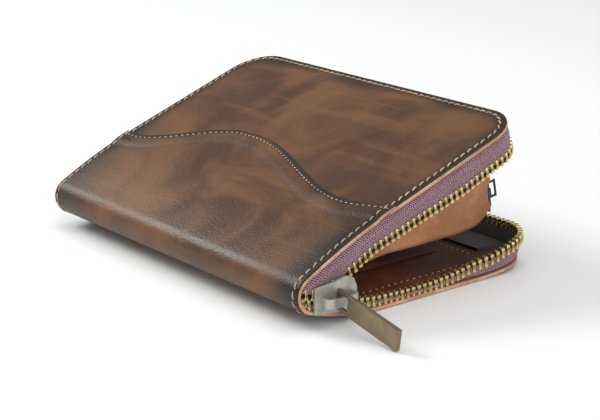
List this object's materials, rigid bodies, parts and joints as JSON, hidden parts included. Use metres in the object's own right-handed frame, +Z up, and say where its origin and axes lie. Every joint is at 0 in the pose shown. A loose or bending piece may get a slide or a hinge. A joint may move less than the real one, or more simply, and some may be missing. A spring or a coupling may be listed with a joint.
{
  "type": "zip-around wallet",
  "caption": "Zip-around leather wallet with a hinged top cover, brass zip rows, slider with flat puller, and a zipped coin pouch between the covers.",
  "frame": {"origin": "on the table under the middle of the bottom cover", "axes": "+X along the spine towards the end where the slider is parked, +Y from the spine to the opening side, +Z up from the table"},
  "size_m": [0.1768, 0.0993, 0.0517],
  "materials": {
    "outer_leather": "burnished, waxed, semi-gloss",
    "inner_leather": "smooth, matte",
    "pouch_leather": "soft, matte",
    "board": "bonded leather board, matte",
    "lining": "black woven lining, matte",
    "zip_tape": "woven plum tape, matte",
    "zip_teeth": "antique brass, worn",
    "slider_metal": "antique nickel, tumbled",
    "puller_metal": "antique brass, tumbled",
    "coin_metal": "gunmetal, satin",
    "thread": "waxed tan thread"
  },
  "bodies": {
    "root": {"bottom_panel": "outer_leather", "spine_leather": "outer_leather", "bottom_board": "board", "bottom_lining": "lining", "lower_inner_panel": "inner_leather", "lower_card_pocket_1": "inner_leather", "lower_card_pocket_2": "inner_leather", "lower_card_pocket_3": "inner_leather", "lower_tape": "zip_tape", "lower_teeth": "zip_teeth", "meshed_teeth": "zip_teeth", "meshed_tape": "zip_tape", "lower_stop": "zip_teeth", "bottom_thread": "thread"},
    "top_cover": {"top_yoke": "outer_leather", "top_panel": "outer_leather", "top_board": "board", "top_lining": "lining", "upper_inner_panel": "inner_leather", "upper_card_pocket_1": "inner_leather", "upper_card_pocket_2": "inner_leather", "upper_card_pocket_3": "inner_leather", "upper_tape": "zip_tape", "upper_teeth": "zip_teeth", "upper_stop": "zip_teeth", "top_thread": "thread", "seam_thread": "thread"},
    "slider": {"slider_body": "slider_metal", "slider_bridge": "slider_metal"},
    "puller": {"puller": "puller_metal"},
    "coin_pouch": {"coin_lower_panel": "pouch_leather", "coin_upper_panel": "pouch_leather", "coin_end_panels": "pouch_leather", "coin_lower_tape": "zip_tape", "coin_upper_tape": "zip_tape", "coin_lower_teeth": "zip_teeth", "coin_upper_teeth": "zip_teeth"},
    "coin_slider": {"coin_slider": "coin_metal"},
    "coin_ring": {"coin_ring": "coin_metal"}
  },
  "joints": [
    {"name": "cover_hinge", "type": "hinge", "parent": "root", "child": "top_cover", "pos_m": [0, -0.04774, 0.01385], "axis": [1, 0, 0], "range_deg": [-17, 70]},
    {"name": "pouch_hinge", "type": "hinge", "parent": "root", "child": "coin_pouch", "pos_m": [0, -0.041, 0.01], "axis": [1, 0, 0], "range_deg": [-9, 36]},
    {"name": "zip_slide", "type": "slide", "parent": "root", "child": "slider", "axis": [0, 1, 0], "range_m": [0, 0.052]},
    {"name": "puller_swing", "type": "hinge", "parent": "slider", "child": "puller", "pos_m": [0.0779, -0.0362, 0.0088], "axis": [0, 0, 1], "range_deg": [-48, 48]},
    {"name": "coin_slide", "type": "slide", "parent": "coin_pouch", "child": "coin_slider", "axis": [1, 0, 0], "range_m": [-0.108, 0]},
    {"name": "coin_ring_swing", "type": "hinge", "parent": "coin_slider", "child": "coin_ring", "pos_m": [0.058, 0.04105, 0.0241], "axis": [0, -0.1693, 0.9856], "range_deg": [-70, 70]}
  ],
  "couplings": [
    {"joint": "pouch_hinge", "follows": "cover_hinge", "ratio": 0.5}
  ]
}
